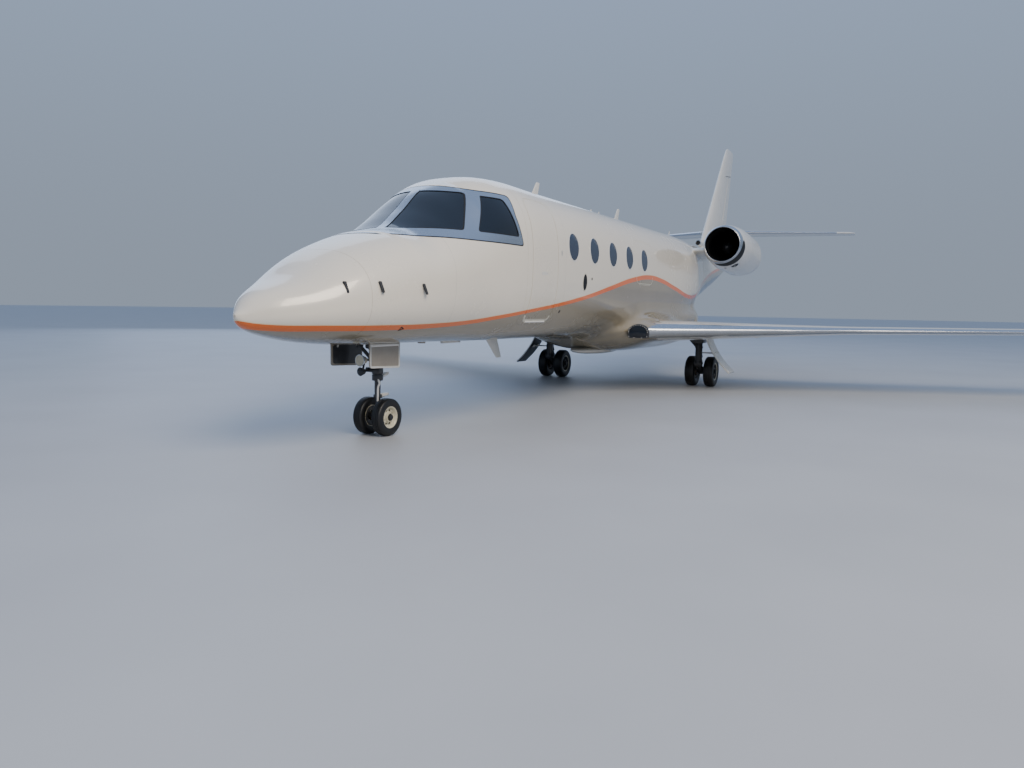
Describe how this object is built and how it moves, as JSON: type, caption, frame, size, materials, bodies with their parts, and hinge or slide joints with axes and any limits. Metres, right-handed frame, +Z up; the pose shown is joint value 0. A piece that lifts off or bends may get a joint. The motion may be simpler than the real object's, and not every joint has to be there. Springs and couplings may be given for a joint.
{
  "type": "twin-engined business jet",
  "caption": "Low-winged business jet parked on its gear, with rear-mounted fan engines, a cruciform tail, winglets and an entry door ahead of the wing.",
  "frame": {"origin": "on the ground, under the middle of the aircraft's length and on its centre line", "axes": "+X points forward, +Y to port and +Z up"},
  "size_m": [17.3, 16.939, 5.76],
  "materials": {
    "skin": "gloss pearl-white paint on aluminium skin",
    "composite": "gloss pearl-white paint on composite",
    "belly": "gloss taupe paint on composite",
    "wing": "gloss light paint with a polished leading edge",
    "glass": "dark tinted, laminated",
    "gear": "painted and chromed steel",
    "wheel": "cream-painted forging",
    "tyre": "black ribbed rubber",
    "engine": "dark heat-stained metal",
    "fan": "bare metal blades and spinner",
    "leather": "tan hide",
    "carpet": "cut pile",
    "trim": "dark moulded trim"
  },
  "bodies": {
    "airframe": {"radome": "composite", "cockpit_section": "skin", "cabin_section": "skin", "tail_cone": "skin", "belly_fairing": "belly", "cabin_floor": "carpet", "instrument_panel": "trim", "fin": "composite", "tailplane": "composite", "nose_leg": "gear", "windshield_left": "glass", "side_window_left": "glass", "cabin_glazing_left": "glass", "pilot_seat_left": "leather", "seat_row_left": "leather", "wing_left": "wing", "nacelle_left": "composite", "engine_left": "engine", "pylon_left": "composite", "main_leg_left": "gear", "main_door_left": "skin", "nose_door_left": "belly", "windshield_right": "glass", "side_window_right": "glass", "cabin_glazing_right": "glass", "pilot_seat_right": "leather", "seat_row_right": "leather", "wing_right": "wing", "nacelle_right": "composite", "engine_right": "engine", "pylon_right": "composite", "main_leg_right": "gear", "main_door_right": "skin", "nose_door_right": "belly"},
    "entry_door": {"entry_door": "skin"},
    "nose_fork": {"nose_fork": "gear"},
    "nose_wheels": {"nose_tyre_left": "tyre", "nose_rim_left": "wheel", "nose_tyre_right": "tyre", "nose_rim_right": "wheel"},
    "rudder": {"rudder": "composite"},
    "flap_left": {"flap_left": "wing"},
    "aileron_left": {"aileron_left": "wing"},
    "elevator_left": {"elevator_left": "composite"},
    "fan_left": {"fan_left": "fan"},
    "main_wheels_left": {"main_tyre_left_outer": "tyre", "main_tyre_left_inner": "tyre", "main_rim_left_outer": "wheel", "main_rim_left_inner": "wheel"},
    "flap_right": {"flap_right": "wing"},
    "aileron_right": {"aileron_right": "wing"},
    "elevator_right": {"elevator_right": "composite"},
    "fan_right": {"fan_right": "fan"},
    "main_wheels_right": {"main_tyre_right_outer": "tyre", "main_tyre_right_inner": "tyre", "main_rim_right_outer": "wheel", "main_rim_right_inner": "wheel"}
  },
  "joints": [
    {"name": "nose_steering", "type": "hinge", "parent": "airframe", "child": "nose_fork", "pos_m": [6.825, 0, 0.6], "axis": [0, 0, 1], "range_deg": [-60, 60]},
    {"name": "nose_wheels_spin", "type": "hinge", "parent": "nose_fork", "child": "nose_wheels", "pos_m": [6.825, 0, 0.198], "axis": [0, 1, 0], "continuous": true},
    {"name": "entry_door_hinge", "type": "hinge", "parent": "airframe", "child": "entry_door", "pos_m": [4.856, 0.818, 1.195], "axis": [-1, 0, 0], "range_deg": [0, 135]},
    {"name": "rudder_hinge", "type": "hinge", "parent": "airframe", "child": "rudder", "pos_m": [-7.775, 0, 4.395], "axis": [-0.3939, 0, 0.9191], "range_deg": [-25, 25]},
    {"name": "flap_left", "type": "hinge", "parent": "airframe", "child": "flap_left", "pos_m": [-1.315, 3.475, 1.03974], "axis": [0.3221, -0.9466, -0.0176], "range_deg": [0, 40]},
    {"name": "aileron_left", "type": "hinge", "parent": "airframe", "child": "aileron_left", "pos_m": [-2.447, 6.8, 1.09512], "axis": [0.3227, -0.9464, -0.0131], "range_deg": [-20, 20]},
    {"name": "elevator_left", "type": "hinge", "parent": "airframe", "child": "elevator_left", "pos_m": [-8.015, 1.61, 3.4], "axis": [0.2514, -0.9679, 0], "range_deg": [-20, 20]},
    {"name": "fan_left_spin", "type": "hinge", "parent": "airframe", "child": "fan_left", "pos_m": [-2, 1.4, 2.68], "axis": [0.9982, 0.0453, 0.0384], "continuous": true},
    {"name": "main_wheels_left_spin", "type": "hinge", "parent": "airframe", "child": "main_wheels_left", "pos_m": [-0.53, 1.488, 0.271], "axis": [0, 1, 0], "continuous": true},
    {"name": "flap_right", "type": "hinge", "parent": "airframe", "child": "flap_right", "pos_m": [-1.315, -3.475, 1.03974], "axis": [-0.3221, -0.9466, 0.0176], "range_deg": [0, 40]},
    {"name": "aileron_right", "type": "hinge", "parent": "airframe", "child": "aileron_right", "pos_m": [-2.447, -6.8, 1.09512], "axis": [-0.3227, -0.9464, 0.0131], "range_deg": [-20, 20]},
    {"name": "elevator_right", "type": "hinge", "parent": "airframe", "child": "elevator_right", "pos_m": [-8.015, -1.61, 3.4], "axis": [-0.2514, -0.9679, 0], "range_deg": [-20, 20]},
    {"name": "fan_right_spin", "type": "hinge", "parent": "airframe", "child": "fan_right", "pos_m": [-2, -1.4, 2.68], "axis": [0.9982, -0.0453, 0.0384], "continuous": true},
    {"name": "main_wheels_right_spin", "type": "hinge", "parent": "airframe", "child": "main_wheels_right", "pos_m": [-0.53, -1.488, 0.271], "axis": [0, 1, 0], "continuous": true}
  ],
  "couplings": [
    {"joint": "flap_right", "follows": "flap_left", "ratio": 1},
    {"joint": "aileron_right", "follows": "aileron_left", "ratio": -1},
    {"joint": "elevator_right", "follows": "elevator_left", "ratio": 1}
  ]
}
